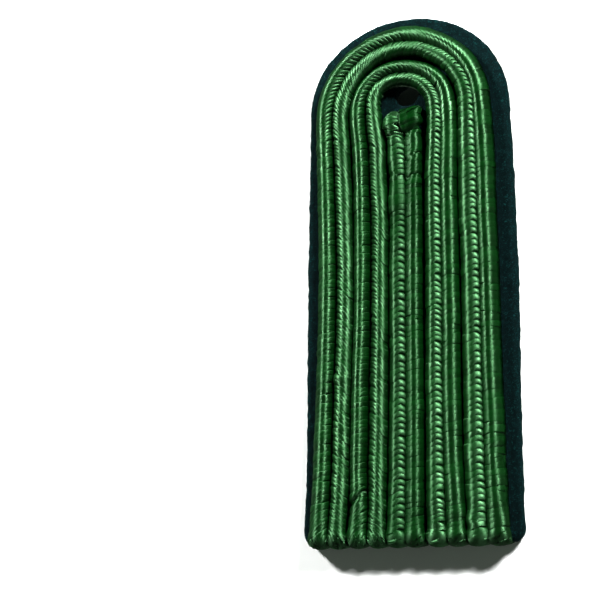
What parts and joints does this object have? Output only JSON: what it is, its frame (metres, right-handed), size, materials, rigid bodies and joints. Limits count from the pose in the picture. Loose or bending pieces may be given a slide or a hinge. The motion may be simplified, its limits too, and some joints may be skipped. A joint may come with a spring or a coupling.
{
  "type": "shoulder board",
  "caption": "Shoulder board: a round-ended felt pad with a buttonhole, covered by flat two-core silk cords laid in nested hairpins round a centre strip.",
  "frame": {"origin": "middle of the board's footprint, on its flat back", "axes": "+X across the board, +Y along it towards the round end with the buttonhole, +Z out of the braided face"},
  "size_m": [0.046, 0.12, 0.0065],
  "materials": {
    "felt": "napped wool felt, dark blue-green",
    "braid": "lustrous woven silk cord, mid green"
  },
  "bodies": {
    "root": {"felt_pad": "felt", "outer_braid": "braid", "inner_braid": "braid", "centre_braid": "braid"}
  },
  "joints": []
}
